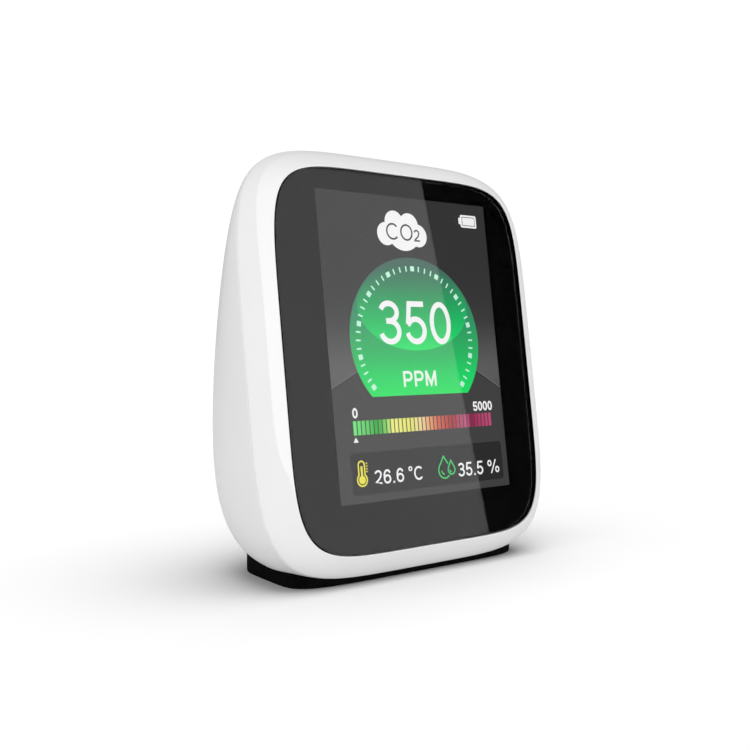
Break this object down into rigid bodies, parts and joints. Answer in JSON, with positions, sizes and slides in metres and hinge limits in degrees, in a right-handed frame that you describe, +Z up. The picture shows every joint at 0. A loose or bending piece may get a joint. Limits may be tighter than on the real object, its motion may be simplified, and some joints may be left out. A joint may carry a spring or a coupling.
{
  "type": "air quality monitor",
  "caption": "Rounded desk air monitor with a portrait display under dark glass, leaning back on a rubber base, with gas and humidity sensors, a battery and a side button.",
  "frame": {"origin": "middle of the bounding box at floor level, under the rubber base", "axes": "+Z up, +X to the right of someone facing the display, -Y towards that person; the glass leans back 7.83 degrees"},
  "size_m": [0.0734, 0.0384, 0.0797],
  "materials": {
    "case_white": "white moulded ABS with a very fine satin texture",
    "glass_black": "clear cover glass, printed black behind, polished",
    "adhesive_black": "black foam adhesive",
    "panel_dark": "liquid crystal cell with polarisers",
    "frame_steel": "thin pressed steel",
    "flex_amber": "amber polyimide ribbon",
    "board_green": "glass-fibre board with green solder mask",
    "chip_black": "moulded black epoxy",
    "connector_ivory": "ivory nylon",
    "socket_steel": "nickel-plated steel shell",
    "sensor_gold": "gold-plated moulding",
    "filter_white": "white non-woven filter and tape",
    "battery_silver": "laminated aluminium pouch",
    "wire_red": "red silicone insulation",
    "wire_black": "black silicone insulation",
    "screw_steel": "zinc-plated steel",
    "rubber_black": "matt black moulded rubber",
    "button_grey": "pale grey moulded cap, satin"
  },
  "bodies": {
    "case": {"front_bezel": "case_white", "rear_cover": "case_white", "base_pad": "rubber_black", "dust_mesh": "filter_white", "cover_glass": "glass_black", "glass_gasket": "adhesive_black", "lcd_panel": "panel_dark", "lcd_backlight": "frame_steel", "lcd_flex": "flex_amber", "display_connector": "connector_ivory", "main_board": "board_green", "microcontroller": "chip_black", "memory_chip": "chip_black", "charger_chip": "chip_black", "power_inductor": "chip_black", "buzzer": "chip_black", "clock_crystal": "frame_steel", "humidity_sensor": "connector_ivory", "sensor_header_left": "chip_black", "sensor_header_right": "chip_black", "co2_sensor_board": "board_green", "co2_sensor_chamber": "sensor_gold", "co2_filter": "filter_white", "battery_tape": "filter_white", "battery_cell": "battery_silver", "battery_socket": "connector_ivory", "battery_plug": "connector_ivory", "battery_wire_red": "wire_red", "battery_wire_black": "wire_black", "usb_socket": "socket_steel", "switch_body": "chip_black", "board_screw_1": "screw_steel", "case_screw_1": "screw_steel", "board_screw_2": "screw_steel", "case_screw_2": "screw_steel", "board_screw_3": "screw_steel", "case_screw_3": "screw_steel", "board_screw_4": "screw_steel", "case_screw_4": "screw_steel"},
    "button": {"power_button": "button_grey", "switch_plunger": "connector_ivory"}
  },
  "joints": [
    {"name": "button_press", "type": "slide", "parent": "case", "child": "button", "axis": [-1, 0, 0], "range_m": [0, 0.0004], "stiffness_N_per_m": 2000, "springref_m": -0.0005}
  ]
}
